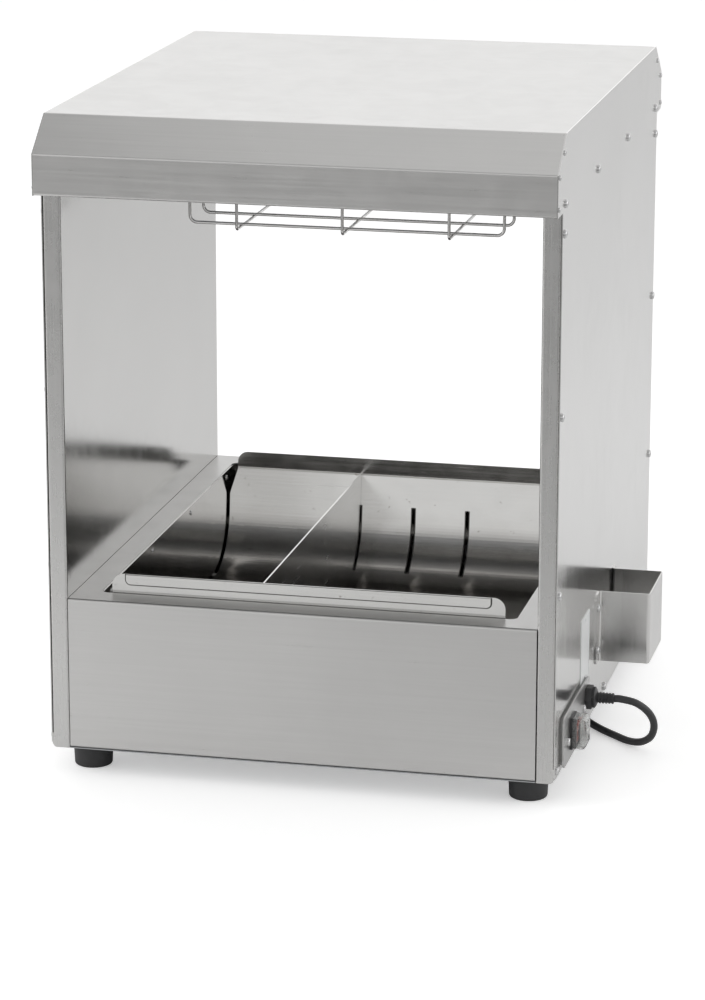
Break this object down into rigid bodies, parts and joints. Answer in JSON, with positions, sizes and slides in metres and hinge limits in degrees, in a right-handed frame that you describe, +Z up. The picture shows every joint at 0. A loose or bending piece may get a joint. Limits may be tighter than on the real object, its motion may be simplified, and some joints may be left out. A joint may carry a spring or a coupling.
{
  "type": "chip warmer",
  "caption": "Counter-top chip warmer: heated well with lift-out curved pan and divider under a quartz-lamp hood, scoop holder and switch on one side, coiled mains cord.",
  "frame": {"origin": "table level under the middle of the warmer's whole reach, from the left screw heads to the outside of the scoop holder", "axes": "+X to the server's right, where the switch and scoop holder are; +Y to the back; +Z up"},
  "size_m": [0.552, 0.7133, 0.625],
  "materials": {
    "brushed_stainless": "fine brushed grain, light scratches",
    "polished_stainless": "near-mirror with faint vertical grain",
    "pan_stainless": "smooth rolled sheet with wear",
    "galvanised_sheet": "dull rolled sheet",
    "screw_steel": "bright plated",
    "chromed_wire": "chromed, slightly heat dulled",
    "polished_aluminium": "polished",
    "quartz_glass": "clear",
    "white_ceramic": "unglazed ceramic",
    "element_sheath": "heat darkened",
    "black_rubber": "matt",
    "black_plastic": "fine moulded grain",
    "ivory_plastic": "moulded",
    "red_plastic": "clear red, lit switch rocker",
    "clear_silicone": "clear, soft",
    "cord_rubber": "satin sheath"
  },
  "bodies": {
    "cabinet": {"hood_cover": "brushed_stainless", "hood_ceiling": "brushed_stainless", "hood_end_screws": "screw_steel", "lamp_reflector": "polished_aluminium", "quartz_lamp_front": "quartz_glass", "quartz_lamp_rear": "quartz_glass", "lamp_end_caps": "white_ceramic", "lamp_brackets": "galvanised_sheet", "wire_guard": "chromed_wire", "side_skin_left": "polished_stainless", "side_skin_right": "polished_stainless", "side_frame_left": "brushed_stainless", "side_frame_right": "brushed_stainless", "side_screws_left": "screw_steel", "side_screws_right": "screw_steel", "base_shell": "brushed_stainless", "base_floor": "galvanised_sheet", "floor_screws": "screw_steel", "feet": "black_rubber", "foot_screws": "screw_steel", "well_liner": "pan_stainless", "well_screws": "screw_steel", "pan_rails": "galvanised_sheet", "heating_element": "element_sheath", "element_supports": "galvanised_sheet", "thermal_cutout": "black_plastic", "terminal_block": "ivory_plastic", "control_plate": "brushed_stainless", "control_gasket": "black_rubber", "control_screws": "screw_steel", "switch_body": "black_plastic", "switch_cover": "clear_silicone", "cable_gland": "black_plastic", "gland_locknut": "black_plastic", "scoop_holder": "brushed_stainless", "holder_screws": "screw_steel", "power_cord": "cord_rubber", "cord_coil": "cord_rubber", "mains_plug": "black_plastic"},
    "pan": {"chip_pan": "pan_stainless"},
    "divider": {"pan_divider": "pan_stainless"},
    "rocker": {"switch_rocker": "red_plastic"}
  },
  "joints": [
    {"name": "pan_lift", "type": "slide", "parent": "cabinet", "child": "pan", "axis": [0, 0, 1], "range_m": [0, 0.12]},
    {"name": "divider_lift", "type": "slide", "parent": "pan", "child": "divider", "axis": [0, 0, 1], "range_m": [0, 0.026]},
    {"name": "rocker_tilt", "type": "hinge", "parent": "cabinet", "child": "rocker", "pos_m": [0.2207, -0.204, 0.0545], "axis": [0, -1, 0], "range_deg": [0, 16]}
  ]
}
